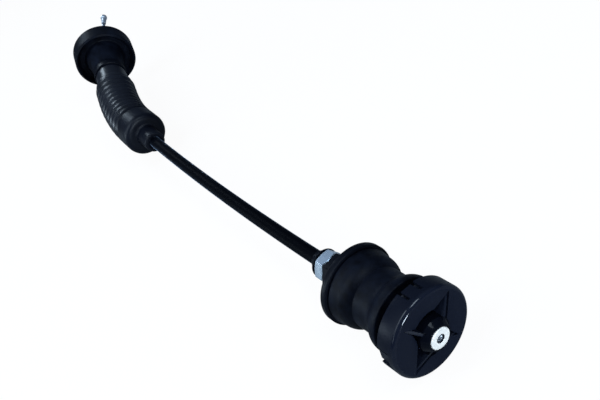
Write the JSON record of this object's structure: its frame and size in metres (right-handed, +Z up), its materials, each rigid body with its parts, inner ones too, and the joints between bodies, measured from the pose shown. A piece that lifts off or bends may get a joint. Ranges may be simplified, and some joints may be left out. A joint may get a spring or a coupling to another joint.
{
  "type": "sheathed control cable",
  "caption": "Sheathed pull cable: capped rubber damper bush and adjuster at one end, corrugated boot, bulkhead grommet and ball nipple at the other.",
  "frame": {"origin": "on the cable's near-end axis, at the end of the damper bush's waist that lies against its shoulder", "axes": "+X along the near-end axis towards the cap, the cable runs to -X and bends towards +Y; +Z up as the part lies on a table on its cap, boot and grommet"},
  "size_m": [0.4755, 0.0969, 0.0669],
  "materials": {
    "cap_plastic": "moulded, semi-gloss with fine scuffs",
    "rubber": "moulded rubber, matt",
    "bellows_rubber": "moulded rubber, matt with a slight sheen on the ridges",
    "flange_plastic": "glass-filled nylon, satin",
    "cover_plastic": "extruded cover, satin gloss",
    "liner_plastic": "low-friction liner, natural white",
    "armour_steel": "wound flat wire, drawn as a plain tube",
    "zinc_steel": "bright zinc plate",
    "sleeve_steel": "machined steel, zinc plate",
    "wire_rope": "stranded steel wire",
    "cast_zinc": "bright die-cast zinc",
    "plate_steel": "blackened steel"
  },
  "bodies": {
    "root": {"conduit_cover": "cover_plastic", "conduit_armour": "armour_steel", "conduit_liner": "liner_plastic", "core_mid": "wire_rope", "damper_bush": "rubber", "bush_sleeve": "sleeve_steel", "wiper_seal": "rubber", "end_flange": "flange_plastic", "threaded_sleeve": "sleeve_steel", "conduit_collar": "flange_plastic", "bellows": "bellows_rubber", "tail_seal": "rubber", "far_ferrule": "flange_plastic", "guide_bush": "flange_plastic", "retaining_ring": "flange_plastic", "bulkhead_grommet": "rubber"},
    "near_core": {"core_near": "wire_rope", "core_nipple": "cast_zinc", "thrust_washer": "zinc_steel"},
    "cap": {"end_cap": "cap_plastic", "pressure_plate": "plate_steel"},
    "washer": {"nut_washer": "zinc_steel"},
    "nut": {"lock_nut": "zinc_steel"},
    "far_core": {"core_far": "wire_rope", "ball_nipple": "cast_zinc"}
  },
  "joints": [
    {"name": "core_pull", "type": "slide", "parent": "root", "child": "near_core", "axis": [1, 0, 0], "range_m": [0, 0.022]},
    {"name": "cap_turn", "type": "hinge", "parent": "near_core", "child": "cap", "pos_m": [0.036, 0, 0], "axis": [1, 0, 0], "continuous": true},
    {"name": "nut_advance", "type": "slide", "parent": "root", "child": "washer", "axis": [-1, 0, 0], "range_m": [0, 0.001]},
    {"name": "nut_turn", "type": "hinge", "parent": "washer", "child": "nut", "pos_m": [-0.0355, 0, 0], "axis": [-1, 0, 0], "range_deg": [0, 360]},
    {"name": "far_slide", "type": "slide", "parent": "root", "child": "far_core", "axis": [0.9209, -0.3588, -0.1523], "range_m": [0, 0.022]}
  ],
  "couplings": [
    {"joint": "nut_turn", "follows": "nut_advance", "rad_per_m": 6283.2},
    {"joint": "far_slide", "follows": "core_pull", "ratio": 1}
  ]
}
